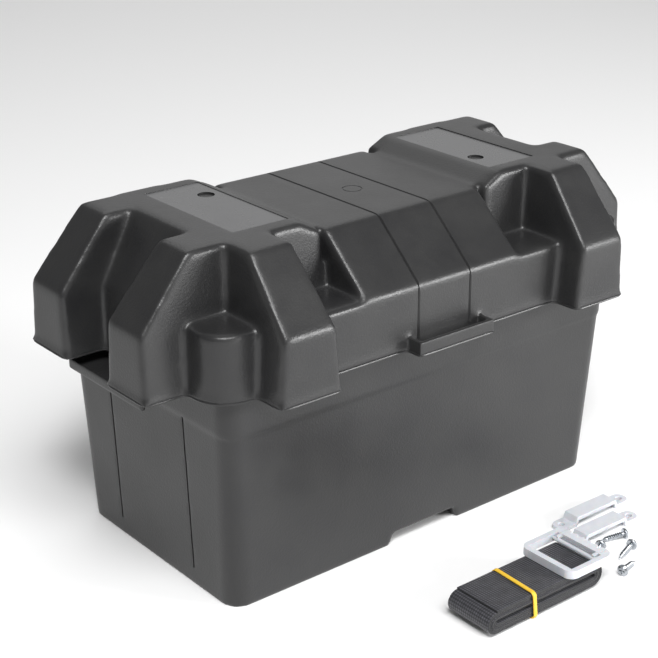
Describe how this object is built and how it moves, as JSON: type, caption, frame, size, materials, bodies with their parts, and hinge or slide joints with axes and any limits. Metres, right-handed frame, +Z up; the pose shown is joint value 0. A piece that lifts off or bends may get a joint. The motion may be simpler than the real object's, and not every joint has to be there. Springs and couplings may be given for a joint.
{
  "type": "battery box",
  "caption": "Lift-off-lid battery box with drafted tub, raised lid ends, corner posts, strap loops, and a coiled strap with cam buckle, brackets and screws beside it.",
  "frame": {"origin": "middle of the tub's foot, on the floor the box stands on", "axes": "+X along the box, +Y to its back, +Z up"},
  "size_m": [0.4402, 0.3455, 0.2485],
  "materials": {
    "black_plastic": "fine moulded grain",
    "webbing": "woven",
    "elastic": "smooth",
    "white_plastic": "satin",
    "zinc_steel": "bright zinc"
  },
  "bodies": {
    "box": {"tub": "black_plastic"},
    "lid": {"lid": "black_plastic"},
    "strap": {"strap_webbing": "webbing", "rubber_band": "elastic", "buckle_frame": "white_plastic"},
    "lever": {"buckle_lever": "white_plastic"},
    "bracket_1": {"strap_bracket_1": "white_plastic"},
    "bracket_2": {"strap_bracket_2": "white_plastic"},
    "screw_1": {"screw_1": "zinc_steel"},
    "screw_2": {"screw_2": "zinc_steel"},
    "screw_3": {"screw_3": "zinc_steel"},
    "screw_4": {"screw_4": "zinc_steel"}
  },
  "joints": [
    {"name": "lid_lift", "type": "slide", "parent": "box", "child": "lid", "axis": [0, 0, 1], "range_m": [0, 0.18]},
    {"name": "strap_lift", "type": "slide", "parent": "box", "child": "strap", "axis": [0, 0, 1], "range_m": [0, 0.08]},
    {"name": "buckle_lever_hinge", "type": "hinge", "parent": "strap", "child": "lever", "pos_m": [0.0365, -0.2025, 0.0227], "axis": [0, -1, 0], "range_deg": [0, 100]},
    {"name": "bracket_1_lift", "type": "slide", "parent": "box", "child": "bracket_1", "axis": [0, 0, 1], "range_m": [0, 0.05]},
    {"name": "bracket_2_lift", "type": "slide", "parent": "box", "child": "bracket_2", "axis": [0, 0, 1], "range_m": [0, 0.05]},
    {"name": "screw_1_lift", "type": "slide", "parent": "box", "child": "screw_1", "axis": [0, 0, 1], "range_m": [0, 0.05]},
    {"name": "screw_2_lift", "type": "slide", "parent": "box", "child": "screw_2", "axis": [0, 0, 1], "range_m": [0, 0.05]},
    {"name": "screw_3_lift", "type": "slide", "parent": "box", "child": "screw_3", "axis": [0, 0, 1], "range_m": [0, 0.05]},
    {"name": "screw_4_lift", "type": "slide", "parent": "box", "child": "screw_4", "axis": [0, 0, 1], "range_m": [0, 0.05]}
  ]
}
